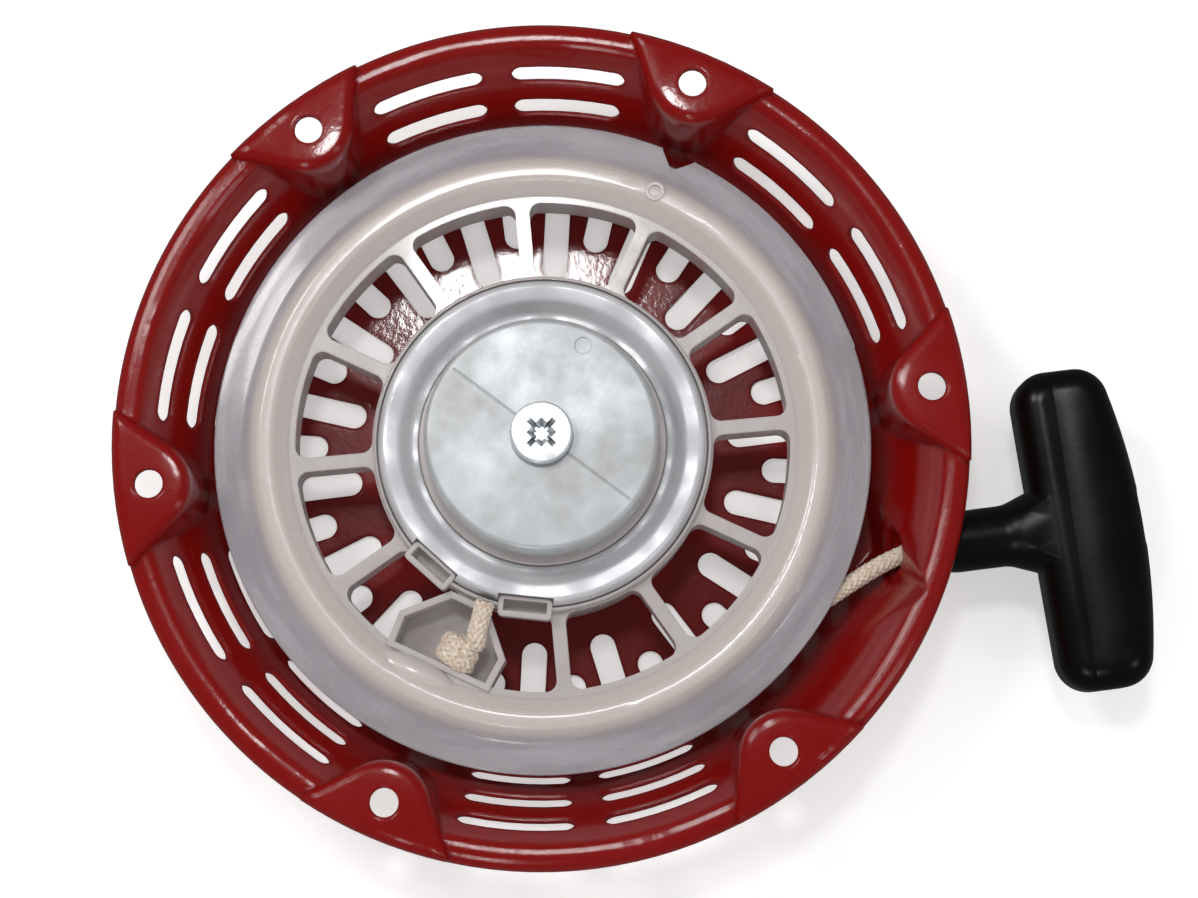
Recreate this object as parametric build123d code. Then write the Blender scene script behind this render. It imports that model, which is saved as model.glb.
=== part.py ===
from build123d import *

# Recoil starter for a small petrol engine, as an assembly of separate pieces.
#
# Frame: the origin is the centre of the six-bolt circle, on the face that bolts to the engine.
# +Z points along the crankshaft axis towards the engine, so the case lies below Z = 0.
# +X points at one mounting bolt, and the pull rope leaves the case along +X.
# All lengths are in millimetres and all angles in degrees.

from math import acos, atan2, cos, degrees, hypot, radians, sin, sqrt, tan
import os

# ---------------------------------------------------------------- driving dimensions
BOLT_CIRCLE_R = 104.0
BOLT_COUNT = 6
BOLT_HOLE_R = 3.75

SHEET = 1.5  # pressed-steel thickness of the case
RIM_R = 113.8  # outside of the turned-down rim
RIM_TOP_Z = -2.6
RIM_DROP = 6.4  # how far the rim turns down
WALL_R_AT_0 = 108.8  # cone wall, inner face, carried up to Z = 0
WALL_SLOPE = 0.61  # radius gained per millimetre of height
FLOOR_Z = -45.5  # inner face of the case floor
PLATFORM_Z = -42.5  # raised middle of the floor, inner face
PLATFORM_R = 20.0

BOSS_NOSE_R = 12.8
BOSS_NOSE_AT = 106.1
BOSS_FLARE = 41.0  # each side of the boss opens by this from its radius
BOSS_DRAFT = 3.0
BOSS_ROLL = 3.2  # rolled top edge
TIP_R = 2.0  # plan radius of the tips where a boss meets the rim

ROPE_D = 5.0
ROPE_Y = -40.0  # the rope and the grip leave the case on this line
ROPE_EXIT_Z = -20.5
ROPE_HOLE_R = 4.2
FACE_X = 97.3  # flat that the rope leaves through: outer face, carried up to Z = 0
FACE_LEAN = 0.24  # its lean, per millimetre of height
SIDE_FACE_R = 106.6  # second flat beside it: distance from the axis at Z = 0
SIDE_FACE_LEAN = 0.484
SIDE_FACE_ANGLE = -47.0
BULGE_FLOOR_Z = -38.5

DRUM_R = 69.0  # the rope winds on this
GROOVE_TOP_Z = -18.0
GROOVE_W = 10.2
FLANGE_R = 88.8
LOWER_FLANGE_T = 1.8
SPOKE_COUNT = 12
SPOKE_W = 3.8
SPOKE_START = -2.0
SPOKE_TOP_Z = -16.4
SPOKE_LOW_Z = -27.0
SPOKE_FILLET = 3.0
WINDOW_OUT_R = 67.2  # the spoke windows end here
HUB_R = 45.6
DECK_Z = -13.0  # the ratchets lie on this
DECK_R = 33.2
LINER_SEAT_Z = -15.0
REEL_BOTTOM_Z = -43.4
POCKET_ANGLE = 238.0  # rope-knot pocket, in place of one spoke

BORE_R = 9.06
SHAFT_R = 9.0
SPIGOT_R = 5.0
SPIGOT_TOP_Z = 1.4
SHOULDER_Z = -13.9
THREAD_R = 3.0
WASHER_TOP_Z = -13.0

GUIDE_R = 31.2
GUIDE_T = 1.2
GUIDE_TOP_Z = 1.3
GUIDE_SKIRT_Z = -12.0

RATCHET_ANGLE = 208.0
RATCHET_PIVOT_R = 22.0
RATCHET_LENGTH = 22.0
RATCHET_LEAN = 96.0  # direction of a parked ratchet, from its pivot's own radius
RATCHET_LOW_Z = -12.8
RATCHET_T = 4.0
RATCHET_HALF_W = 2.5
STUB_R = 3.0
STUB_BOTTOM_Z = -24.8
SPRING_RECESS_R = 5.5
SPRING_RECESS_Z = -17.0

STRIP_LOW_Z = -41.4
STRIP_H = 8.0
STRIP_T = 0.6
STRIP_OUT_R = 40.6
STRIP_IN_R = 10.2
STRIP_TURNS = 9
CAVITY_R = 41.6
CAVITY_CORE_R = 13.0
RIB_BOTTOM_Z = -33.0

GRIP_LENGTH = 87.0
GRIP_MIDDLE_Y = -41.0
GRIP_HALF_T = 10.0
STEM_R = 8.25
STEM_TIP_X = 97.6


# ---------------------------------------------------------------- shared helpers
def polar(radius, angle, z=0.0):
    """A point at a radius and an angle about the Z axis."""
    return (radius * cos(radians(angle)), radius * sin(radians(angle)), z)


def rounded_path(points):
    """A wire on the XZ plane through (x, z, corner radius) points."""
    edges = []
    last = Vector(points[0][0], 0, points[0][1])
    for before, here, after in zip(points, points[1:], points[2:]):
        corner = Vector(here[0], 0, here[1])
        radius = here[2]
        if radius > 0:
            back = (Vector(before[0], 0, before[1]) - corner).normalized()
            ahead = (Vector(after[0], 0, after[1]) - corner).normalized()
            half = radians(back.get_angle(ahead)) / 2
            start = corner + back * (radius / tan(half))
            end = corner + ahead * (radius / tan(half))
            middle = corner + (back + ahead).normalized() * (radius / sin(half) - radius)
            edges.append(Edge.make_line(last, start))
            edges.append(Edge.make_three_point_arc(start, middle, end))
            last = end
        else:
            edges.append(Edge.make_line(last, corner))
            last = corner
    edges.append(Edge.make_line(last, Vector(points[-1][0], 0, points[-1][1])))
    return Wire(edges)


def turned(points):
    """A solid of revolution about Z from a closed outline of (radius, z, corner radius) points."""
    first, second = points[0], points[1]
    start = ((first[0] + second[0]) / 2, (first[1] + second[1]) / 2, 0)
    return revolve(Face(rounded_path([start, *points[1:], first, start])), axis=Axis.Z)


def moved_aside(points, distance):
    """An open path of (radius, z, corner radius) points, moved to its right by a distance."""
    moved = []
    for index, (r, z, corner) in enumerate(points):
        before = points[max(index - 1, 0)]
        after = points[min(index + 1, len(points) - 1)]
        ways = []
        for a, b in ((before, (r, z)), ((r, z), after)):
            length = hypot(b[0] - a[0], b[1] - a[1])
            if length > 0:
                ways.append(((b[0] - a[0]) / length, (b[1] - a[1]) / length))
        (ax, az), (bx, bz) = ways[0], ways[-1]
        scale = distance / (1 + ax * bx + az * bz)
        turn = ax * bz - az * bx
        if corner > 0:
            corner = corner + distance if turn > 0 else corner - distance
        moved.append((r + (az + bz) * scale, z - (ax + bx) * scale, corner))
    return moved


def pressed(points, thickness):
    """A thin pressed ring: an open path of (radius, z, corner radius) points with a thickness."""
    return turned([*points, *reversed(moved_aside(points, thickness))])


def tube(outer, inner, low, high):
    """A plain ring about Z."""
    return turned([(inner, low, 0), (outer, low, 0), (outer, high, 0), (inner, high, 0)])


def rod(radius, low, high):
    """A plain cylinder about Z."""
    return Pos(0, 0, (low + high) / 2) * Cylinder(radius, high - low)


def wedge_ring(inner, outer, low, high, span):
    """Part of a ring between two heights, turned anticlockwise from +X through an angle."""
    profile = Wire.make_polygon([(inner, 0, low), (outer, 0, low), (outer, 0, high), (inner, 0, high)])
    return revolve(Face(profile), axis=Axis.Z, revolution_arc=span)


def around(shape, count, start=0.0):
    """Copies of a shape at equal angles about Z."""
    return [Rot(0, 0, start + index * 360.0 / count) * shape for index in range(count)]


def flat(points, z=0.0):
    """A polygon at a height."""
    return make_face(Polyline(*[(x, y, z) for x, y in points], close=True))


def prism(points, low, high):
    """An upright prism on a polygon."""
    return extrude(flat(points, low), amount=high - low, dir=(0, 0, 1))


def wire_coil(wire_r, coil_r, low, high, turns):
    """A round-wire helix about Z, its wire's centre running from low to high."""
    path = Edge.make_helix((high - low) / turns, high - low, coil_r, center=(0, 0, low))
    section = Plane(origin=path @ 0, z_dir=path % 0) * Circle(wire_r)
    return sweep(section, path=path, is_frenet=True)


def round_bar(points, radius):
    """A round bar along a smooth curve through points."""
    path = Spline(*points)
    section = Plane(origin=path @ 0, z_dir=path % 0) * Circle(radius)
    return sweep(section, path=path)


# ---------------------------------------------------------------- case
def wall_r(z):
    """Inner radius of the case's cone wall at a height."""
    return WALL_R_AT_0 + WALL_SLOPE * z


def case_shell():
    """The pressed bowl: raised middle, floor, cone wall, and a rim turned down at its edge."""
    face = [
        (0.0, PLATFORM_Z, 0),
        (PLATFORM_R, PLATFORM_Z, 3.0),
        (PLATFORM_R + 4.0, FLOOR_Z, 3.0),
        (wall_r(FLOOR_Z), FLOOR_Z, 10.0),
        (wall_r(RIM_TOP_Z), RIM_TOP_Z, 3.6),
        (RIM_R, RIM_TOP_Z, 3.8),
        (RIM_R, RIM_TOP_Z - RIM_DROP, 0),
    ]
    return pressed(face, SHEET)


def inside_of_wall(grow, top_z):
    """Everything inside the cone wall, with the wall moved out by a thickness."""
    out = grow * sqrt(1 + WALL_SLOPE**2)
    low = FLOOR_Z + 2.0
    return turned([(0, low, 0), (wall_r(low) + out, low, 0), (wall_r(top_z) + out, top_z, 0), (0, top_z, 0)])


def boss_outline(inset):
    """Plan of a mounting boss on the +X side: a round nose that flares out to the rim."""
    nose_r = BOSS_NOSE_R - inset
    far_x = RIM_R + 8.0
    lean = radians(BOSS_FLARE)
    touch = Vector(BOSS_NOSE_AT - nose_r * sin(lean), nose_r * cos(lean))
    far = Vector(far_x, touch.Y + (far_x - touch.X) * tan(lean))
    touch_2, far_2 = Vector(touch.X, -touch.Y), Vector(far.X, -far.Y)
    outline = [
        Edge.make_line(far_2, far),
        Edge.make_line(far, touch),
        Edge.make_three_point_arc(touch, Vector(BOSS_NOSE_AT - nose_r, 0), touch_2),
        Edge.make_line(touch_2, far_2),
    ]
    return Face(Wire(outline))


def boss_block(inset, top_z, edge_r):
    """A drafted boss block below top_z with its top edge rolled over."""
    depth = 42.0
    spread = depth * tan(radians(BOSS_DRAFT))
    low = Pos(0, 0, top_z - depth) * boss_outline(inset - spread)
    block = loft([Pos(0, 0, top_z) * boss_outline(inset), low])
    top = block.faces().sort_by(Axis.Z)[-1]
    far_edge = top.edges().sort_by(Axis.X)[-1]
    rolled = [edge for edge in top.edges() if (edge.center() - far_edge.center()).length > 1.0]
    return fillet(rolled, edge_r)


def boss_limit(grow):
    """Keeps a boss inside the rolled outer edge of the rim."""
    return turned([(60, -60, 0), (RIM_R - grow, -60, 0), (RIM_R - grow, -grow, 3.6 - grow), (60, -grow, 0)])


def boss_tip_trim():
    """Rounds in plan the two sharp tips where a boss runs out into the rim."""
    plan = boss_outline(-0.5) & Circle(RIM_R + 0.4)
    tips = plan.vertices().sort_by(Axis.X)[-2:]
    keep = extrude(Pos(0, 0, -12) * fillet(tips, TIP_R), amount=14)
    return Rot(0, 0, -25) * wedge_ring(106.5, RIM_R + 4.0, -9.0, 1.0, 50.0) - keep


def boss_hull():
    """Where the walls of a boss may stand: inside the cone wall, and above the rim's underside."""
    step_z = RIM_TOP_Z - SHEET / 2
    return inside_of_wall(SHEET / 2, step_z) + rod(RIM_R, step_z, 0.0)


def side_corner(inset, z):
    """Where the two flats of the rope bulge meet at a height."""
    x = FACE_X - inset + FACE_LEAN * z
    reach = SIDE_FACE_R - inset + SIDE_FACE_LEAN * z
    angle = radians(SIDE_FACE_ANGLE)
    return x, (reach - x * cos(angle)) / sin(angle)


def rope_bulge(inset, low, high):
    """Part of the wall pushed outwards, so the rope leaves through a flat square to its pull."""
    sections = []
    angle = radians(SIDE_FACE_ANGLE)
    for z in (low, high):
        x, y = side_corner(inset, z)
        reach = SIDE_FACE_R - inset + SIDE_FACE_LEAN * z
        aside = reach * tan(radians(8.0)) - inset
        far = (reach * cos(angle) + aside * sin(angle), reach * sin(angle) - aside * cos(angle))
        sections.append(flat([(45, -17 - inset), (x, -17 - inset), (x, y), far, (35, far[1] / 2)], z))
    block = loft(sections, ruled=True)
    upright = [edge for edge in block.edges() if abs(edge.tangent_at(0.5).Z) > 0.7]
    outer = [edge for edge in upright if edge.center().X > 62]
    return fillet(outer, 4.0 - inset)


def wall_slots():
    """Cutters for three rows of slots, two side by side, in every wall panel but the rope's."""
    width, reach = 5.6, 12.0
    lean = atan2(WALL_SLOPE, 1.0)
    cutters = []
    for z in (-12.0, -22.0, -32.0):
        centre = Vector(wall_r(z) + SHEET / 2, 0, z)
        up = Vector(sin(lean), 0, cos(lean)) * (width / 2)
        out = Vector(cos(lean), 0, -sin(lean)) * (reach / 2)
        strip = Face(Wire.make_polygon([centre + up + out, centre - up + out, centre - up - out, centre + up - out]))
        half = 17.5 / 2 - degrees(width / 2 / wall_r(z))
        band = Rot(0, 0, -half) * revolve(strip, axis=Axis.Z, revolution_arc=2 * half)
        drill = Pos(centre.X, 0, z) * Rot(0, 90 + degrees(lean), 0) * Cylinder(width / 2, reach)
        for panel in range(BOLT_COUNT - 1):
            for offset in (-11.0, 11.0):
                turn = Rot(0, 0, 30 + 60 * panel + offset)
                cutters.append(turn * band)
                cutters += [turn * (Rot(0, 0, side * half) * drill) for side in (-1, 1)]
    return cutters


def floor_slots():
    """Cutters for long and short radial slots through the case floor, turn and turn about."""
    width, outer = 7.0, 78.5
    cutters = []
    for index in range(36):
        inner = 51.8 if index % 2 == 0 else 61.2
        plan = SlotOverall(outer - inner, width)
        slot = Pos((inner + outer) / 2, 0, FLOOR_Z - 6) * extrude(plan, amount=22)
        cutters.append(Rot(0, 0, index * 10) * slot)
    return cutters


def rope_collar():
    """The rope hole's rim, drawn outwards from the flat, and the hole itself."""
    face_x = FACE_X + FACE_LEAN * ROPE_EXIT_Z
    inner_x = face_x - SHEET
    ring = [(0, inner_x - 6, 0), (ROPE_HOLE_R + SHEET, inner_x - 6, 0), (ROPE_HOLE_R + SHEET, face_x + 3.4, 0.8)]
    collar = turned([*ring, (0, face_x + 3.4, 0)])
    flare = inner_x + 2.4
    bore = [(0, 70, 0), (ROPE_HOLE_R + 30, 70, 0), (ROPE_HOLE_R + 2.0, inner_x - 0.6, 0)]
    hole = turned([*bore, (ROPE_HOLE_R, flare, 2.5), (ROPE_HOLE_R, face_x + 9, 0), (0, face_x + 9, 0)])
    place = Pos(0, ROPE_Y, ROPE_EXIT_Z) * Rot(0, 90, 0)
    return place * collar, place * hole


def starter_case():
    hull = boss_hull()
    boss = (boss_block(0.0, 0.0, BOSS_ROLL) & boss_limit(0.0) & hull) - boss_tip_trim()
    pocket = boss_block(SHEET, -SHEET, BOSS_ROLL - SHEET) & boss_limit(SHEET)
    bulge_out = rope_bulge(0.0, BULGE_FLOOR_Z, RIM_TOP_Z - 0.6) - inside_of_wall(SHEET / 2, 2.0)
    bulge_in = rope_bulge(SHEET, BULGE_FLOOR_Z + SHEET, 1.0)
    case = case_shell() + bulge_out - bulge_in
    case = case + around(boss, BOLT_COUNT) - around(pocket, BOLT_COUNT)
    collar, rope_hole = rope_collar()
    case = case + (collar - bulge_in) - (rope_hole & Pos(95, ROPE_Y, ROPE_EXIT_Z) * Box(14, 20, 20))
    holes = around(Pos(BOLT_CIRCLE_R, 0, 0) * Cylinder(BOLT_HOLE_R, 8), BOLT_COUNT)
    case = case - holes - rod(6.0, -60, -30)
    return case - floor_slots() - wall_slots()


# ---------------------------------------------------------------- fixed pieces on the case
def reel_shaft():
    """The post the reel turns on, riveted through the middle of the case."""
    outline = [
        (0, -46.2, 0),
        (9.5, -46.2, 1.2),
        (9.5, PLATFORM_Z - SHEET, 0),
        (5.95, PLATFORM_Z - SHEET, 0),
        (5.95, PLATFORM_Z, 0),
        (12.0, PLATFORM_Z, 0),
        (12.0, PLATFORM_Z + 0.8, 0),
        (SHAFT_R, PLATFORM_Z + 0.8, 0),
        (SHAFT_R, SHOULDER_Z, 0.4),
        (SPIGOT_R, SHOULDER_Z, 0),
        (SPIGOT_R, SPIGOT_TOP_Z, 0.4),
        (0, SPIGOT_TOP_Z, 0),
    ]
    anchor_slot = Pos(SHAFT_R - 1.0, 0, STRIP_LOW_Z + STRIP_H / 2) * Box(4.4, 1.4, STRIP_H + 0.6)
    return turned(outline) - rod(THREAD_R, -30, 5) - anchor_slot


def thrust_washer():
    return tube(CAVITY_CORE_R, SPIGOT_R + 0.1, SHOULDER_Z, WASHER_TOP_Z)


def cross_recess(low, high):
    """A worn-in cross recess: a square middle with four short arms."""
    middle = Pos(0, 0, low) * Rot(0, 0, 45) * Rectangle(5.4, 5.4)
    cutter = loft([Pos(0, 0, low) * Rectangle(3.0, 3.0), Pos(0, 0, high) * Rectangle(5.6, 5.6)])
    arm_low = Pos(0, 0, low) * Rectangle(5.0, 1.0)
    arm_high = Pos(0, 0, high) * Rectangle(9.6, 1.5)
    arm = loft([arm_low, arm_high])
    return cutter, arm, Rot(0, 0, 90) * arm


def set_screw():
    """Wide flat-headed screw that keeps the ratchet guide on the post."""
    head_top = 4.3
    outline = [
        (0, -13.5, 0),
        (2.4, -13.5, 0),
        (THREAD_R - 0.05, -12.9, 0),
        (THREAD_R - 0.05, SPIGOT_TOP_Z, 0),
        (8.3, SPIGOT_TOP_Z, 0),
        (8.3, head_top, 0.7),
        (0, head_top, 0),
    ]
    screw = turned(outline)
    tilt = Rot(0, 0, 38)
    return screw - [tilt * cutter for cutter in cross_recess(head_top - 2.6, head_top + 0.01)]


# ---------------------------------------------------------------- reel
def reel_rim():
    """Grooved rim: a drum wall between a domed upper flange and a flat lower flange."""
    low = GROOVE_TOP_Z - GROOVE_W
    bottom = low - LOWER_FLANGE_T
    outline = [
        (WINDOW_OUT_R, bottom, 0),
        (FLANGE_R - 1.0, bottom, 0.6),
        (FLANGE_R - 1.0, low, 0.6),
        (DRUM_R, low, 0.8),
        (DRUM_R, GROOVE_TOP_Z, 0.8),
        (FLANGE_R, GROOVE_TOP_Z, 0.5),
        (FLANGE_R, GROOVE_TOP_Z + 1.4, 0.6),
        (80.2, -15.6, 4.0),
        (76.6, -12.2, 2.4),
        (72.8, -12.2, 2.6),
        (68.4, -16.6, 2.2),
        (WINDOW_OUT_R, -17.6, 0),
    ]
    return turned(outline)


def reel_hub():
    """Hub: deck for the ratchets, seat for the liner, bearing tube, and the spring's drum below."""
    wall = [
        (CAVITY_R, REEL_BOTTOM_Z, 0),
        (HUB_R, REEL_BOTTOM_Z, 1.0),
        (HUB_R, LINER_SEAT_Z + 2.0, 0.8),
        (HUB_R - 0.9, LINER_SEAT_Z + 2.0, 0),
        (HUB_R - 0.9, LINER_SEAT_Z, 0),
        (DECK_R, LINER_SEAT_Z, 0),
        (DECK_R, DECK_Z, 0.4),
        (CAVITY_CORE_R + 0.2, DECK_Z, 0),
        (CAVITY_CORE_R + 0.2, SHOULDER_Z - 0.1, 0),
        (BORE_R, SHOULDER_Z - 0.1, 0),
        (BORE_R, -32.6, 0),
        (CAVITY_CORE_R, -32.6, 0),
        (CAVITY_CORE_R, LINER_SEAT_Z - 2.6, 1.5),
        (CAVITY_R, LINER_SEAT_Z - 2.6, 1.5),
    ]
    hub = turned(wall)
    rib_length = CAVITY_R - CAVITY_CORE_R + 1.0
    middle_r = (CAVITY_R + CAVITY_CORE_R) / 2
    rib_top = LINER_SEAT_Z - 1.0
    rib = Pos(middle_r, 0, (RIB_BOTTOM_Z + rib_top) / 2) * Box(rib_length, 2.2, rib_top - RIB_BOTTOM_Z)
    stub_boss = Pos(RATCHET_PIVOT_R, 0, 0) * rod(SPRING_RECESS_R + 1.8, -27.0, LINER_SEAT_Z - 1.0)
    anchor = Pos(CAVITY_R + 1.0, 0, STRIP_LOW_Z + STRIP_H / 2) * Box(4.2, 1.6, STRIP_H + 1.0)
    return hub + around(rib, 12, 12) + around(stub_boss, 2, RATCHET_ANGLE) - Rot(0, 0, 150) * anchor


def spoke_window():
    """Plan of the window between two spokes, centred on the +X side, with rounded corners."""
    half_angle = 180.0 / SPOKE_COUNT
    edge = SPOKE_W / 2 / cos(radians(half_angle))
    slope = tan(radians(half_angle))
    near, far = HUB_R - 10.0, WINDOW_OUT_R + 10.0
    low, high = near * slope - edge, far * slope - edge
    wedge = Polyline((near, low), (far, high), (far, -high), (near, -low), close=True)
    window = (Circle(WINDOW_OUT_R - 0.4) - Circle(HUB_R + 0.5)) & make_face(wedge)
    return fillet(window.vertices(), SPOKE_FILLET)


def spoke_web():
    """The spokes: one deep plate between hub and rim with a window cut between each pair."""
    plate = tube(WINDOW_OUT_R + 1.3, HUB_R - 0.5, SPOKE_LOW_Z, SPOKE_TOP_Z)
    window = extrude(Pos(0, 0, SPOKE_LOW_Z - 1) * spoke_window(), amount=SPOKE_TOP_Z - SPOKE_LOW_Z + 2)
    return plate - around(window, SPOKE_COUNT, SPOKE_START + 180.0 / SPOKE_COUNT)


def pocket_outline(inset):
    """Plan of the knot pocket on the +X side: six walls between hub and rim."""
    return [
        (46.4 + inset, -5.4 + inset * 0.6),
        (46.4 + inset, 5.4 - inset * 0.6),
        (57.0 + inset * 0.4, 15.6 - inset * 1.1),
        (DRUM_R - 2.4 - inset, 15.0 - inset),
        (DRUM_R - 2.4 - inset, -15.0 + inset),
        (57.0 + inset * 0.4, -15.6 + inset * 1.1),
    ]


def rope_passage():
    """The hole that takes the rope from the knot pocket out into the groove."""
    return Pos(DRUM_R - 1.5, 2.0, -23.9) * Rot(0, 90, 0) * Cylinder(ROPE_D / 2 + 0.4, 8.0)


def pocket_hump():
    """Smooth swelling of the rim where the rope enters the groove."""
    hump = Pos(70.5, -5.0, -17.0) * Rot(0, 0, 90) * scale(Sphere(1.0), by=(12.0, 4.6, 4.4))
    return hump


def reel():
    body = reel_rim() + reel_hub()
    body = body + spoke_web()
    turn = Rot(0, 0, POCKET_ANGLE)
    body = body + turn * prism(pocket_outline(0.0), GROOVE_TOP_Z - GROOVE_W, -15.4)
    body = body - turn * prism(pocket_outline(1.7), GROOVE_TOP_Z - GROOVE_W + 1.6, 0.0)
    body = body + turn * (pocket_hump() & prism([(66, -20), (80, -20), (80, 8), (66, 8)], GROOVE_TOP_Z + 0.4, -8))
    body = body - turn * rope_passage()
    for angle in (221.0, 257.0):
        frame = Pos(HUB_R - 0.8, 0, -15.6) * Box(5.6, 14.4, 6.0)
        frame = fillet(frame.edges().filter_by(Axis.Z), 1.2)
        opening = Pos(HUB_R - 1.1, 0, -14.5) * Box(3.0, 11.6, 9.0)
        body = body + Rot(0, 0, angle) * frame - Rot(0, 0, angle) * opening
    body = body - around(Pos(RATCHET_PIVOT_R, 0, 0) * rod(STUB_R + 0.06, -26, 0), 2, RATCHET_ANGLE)
    body = body - around(Pos(RATCHET_PIVOT_R, 0, 0) * rod(SPRING_RECESS_R, SPRING_RECESS_Z, 0), 2, RATCHET_ANGLE)
    notch = Pos(FLANGE_R, 0, -17) * Rot(0, 0, 45) * Box(7.6, 7.6, 6)
    notch = fillet(notch.edges().filter_by(Axis.Z), 1.6)
    gate = Rot(0, 0, 59) * Pos(75.4, 0, 0) * tube(2.6, 1.7, -13.2, -11.9)
    return body - Rot(0, 0, 58) * notch + gate


def hub_liner():
    """Bright pressed ring that lines the hub around the ratchet guide."""
    face = [
        (DECK_R + 0.4, -14.2, 0),
        (35.6, -14.2, 2.0),
        (38.6, -11.0, 2.0),
        (43.0, -10.3, 1.6),
        (44.4, -13.6, 0),
    ]
    ring = pressed(face, 0.7)
    return ring - [Rot(0, 0, angle) * Pos(44.4, 0, -12) * Box(5.2, 14.8, 8) for angle in (221.0, 257.0)]


def recoil_spring():
    """Flat strip wound from the post out to the wall of its drum, tighter at the outside."""
    steps = STRIP_TURNS * 12
    inner, outer = [], []
    for index in range(steps + 1):
        share = index / steps
        angle = share * STRIP_TURNS * 360.0
        radius = STRIP_IN_R + (STRIP_OUT_R - STRIP_IN_R) * share**0.72
        inner.append(polar(radius - STRIP_T / 2, angle, STRIP_LOW_Z))
        outer.append(polar(radius + STRIP_T / 2, angle, STRIP_LOW_Z))
    edge_in, edge_out = Spline(*inner), Spline(*outer)
    ends = [Line(edge_in @ 0, edge_out @ 0), Line(edge_in @ 1, edge_out @ 1)]
    strip = extrude(make_face([edge_in, edge_out, *ends]), amount=STRIP_H, dir=(0, 0, 1))
    tab = Pos(SHAFT_R + 0.2, 0.25, STRIP_LOW_Z + STRIP_H / 2) * Box(2.6, 0.6, STRIP_H)
    return strip + tab


def rope_coil():
    """Rope wound on the reel: two layers of two turns."""
    turns = None
    for radius in (DRUM_R + 2.56, DRUM_R + 7.45):
        for z in (GROOVE_TOP_Z - 2.58, GROOVE_TOP_Z - 7.56):
            turn = Pos(0, 0, z) * Torus(radius, ROPE_D / 2)
            turns = turn if turns is None else turns + turn
    return turns


def rope_knot_reel():
    """Overhand knot in the reel's pocket, with its loose tail lying along the hub side."""
    place = Rot(0, 0, POCKET_ANGLE)
    knot_z = -21.2
    knot = Pos(59.4, -0.5, knot_z) * Rot(0, 0, 75) * scale(Sphere(1.0), by=(8.2, 5.0, 4.8))
    bends = [(60.5, 1.0, -21.5), (61.4, 6.6, -20.4), (57.6, 9.4, -18.2), (53.4, 5.8, -16.2), (50.8, 1.6, -14.8)]
    tail = round_bar(bends, 2.3)
    lead = Pos(64.4, 2.0, -23.9) * Rot(0, 90, 0) * Cylinder(ROPE_D / 2, 8.8)
    return place * (knot + tail + lead)


# ---------------------------------------------------------------- ratchets and their guide
def ratchet():
    """Steel ratchet with its own stub, pivot on the Z axis, lying along +X."""
    top = RATCHET_LOW_Z + RATCHET_T
    half = RATCHET_HALF_W
    tip = [(RATCHET_LENGTH - 2.4, -half), (RATCHET_LENGTH, half - 1.6), (RATCHET_LENGTH - 0.4, half)]
    arm = prism([(0, -half), *tip, (0, half)], RATCHET_LOW_Z, top)
    eye = rod(3.9, RATCHET_LOW_Z, top)
    stub = rod(STUB_R, STUB_BOTTOM_Z, RATCHET_LOW_Z + 0.5)
    dimple = Pos(0, 0, top) * Cylinder(1.4, 0.8)
    return arm + eye + stub - dimple


def ratchet_at(index):
    angle = RATCHET_ANGLE + 180.0 * index
    return Rot(0, 0, angle) * Pos(RATCHET_PIVOT_R, 0, 0) * Rot(0, 0, RATCHET_LEAN) * ratchet()


def ratchet_spring(index):
    """Small return spring in the recess round the ratchet's stub."""
    angle = RATCHET_ANGLE + 180.0 * index
    coil = wire_coil(0.4, 4.3, -16.4, -13.5, 2.5)
    return Rot(0, 0, angle) * Pos(RATCHET_PIVOT_R, 0, 0) * coil


def ratchet_guide():
    """Inverted cup over the ratchets, with a window for each and a lug that pushes it out."""
    under = GUIDE_TOP_Z - GUIDE_T
    face = [
        (SPIGOT_R + 0.1, GUIDE_TOP_Z, 0),
        (GUIDE_R, GUIDE_TOP_Z, 1.8),
        (GUIDE_R, GUIDE_SKIRT_Z, 0),
    ]
    cup = pressed(face, GUIDE_T)
    window = Rot(0, 0, 36) * wedge_ring(26, 40, -20, -7.6, 38)
    lug = Pos(*polar(20.5, 40.0)) * rod(1.5, -11.0, under + 0.2)
    cup = cup - around(window, 2, RATCHET_ANGLE) + around(lug, 2, RATCHET_ANGLE)
    groove = Pos((8.5 + 29.0) / 2, 0, GUIDE_TOP_Z) * Box(29.0 - 8.5, 0.5, 0.5)
    mark = Pos(*polar(26.0, 58.0, GUIDE_TOP_Z)) * Cylinder(2.2, 0.3)
    return cup - around(groove, 2, 136.0) - mark


def friction_spring():
    """Wire spring that presses the guide against the screw and makes it lag behind the reel."""
    return wire_coil(0.7, 7.2, WASHER_TOP_Z + 0.8, GUIDE_TOP_Z - GUIDE_T - 0.8, 4.5)


# ---------------------------------------------------------------- rope outside the reel, and grip
def rope_tangent():
    """Where the outer layer of rope leaves the reel, and its direction to the rope hole."""
    hole_x = FACE_X + FACE_LEAN * ROPE_EXIT_Z - SHEET
    radius = DRUM_R + 7.45
    reach = hypot(hole_x, ROPE_Y)
    angle = degrees(atan2(ROPE_Y, hole_x) - acos(radius / reach))
    return polar(radius, angle, ROPE_EXIT_Z), angle + 90.0, sqrt(reach**2 - radius**2)


def rope_feed_run():
    """Straight rope between the reel and the rope hole, bending into line with the pull."""
    start, heading, length = rope_tangent()
    step = lambda along: Vector(*start) + Vector(*polar(along, heading))
    begin, bend = step(32.0), step(length - 6.0)
    hole_x = FACE_X + FACE_LEAN * ROPE_EXIT_Z - SHEET
    end = Vector(hole_x + 4.6, ROPE_Y, ROPE_EXIT_Z)
    straight = Line(begin, bend)
    curve = Spline(bend, end, tangents=[straight % 1, Vector(1, 0, 0)])
    section = Plane(origin=begin, z_dir=straight % 0) * Circle(ROPE_D / 2 - 0.05)
    return sweep(section, path=Wire([straight, curve]))


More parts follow.
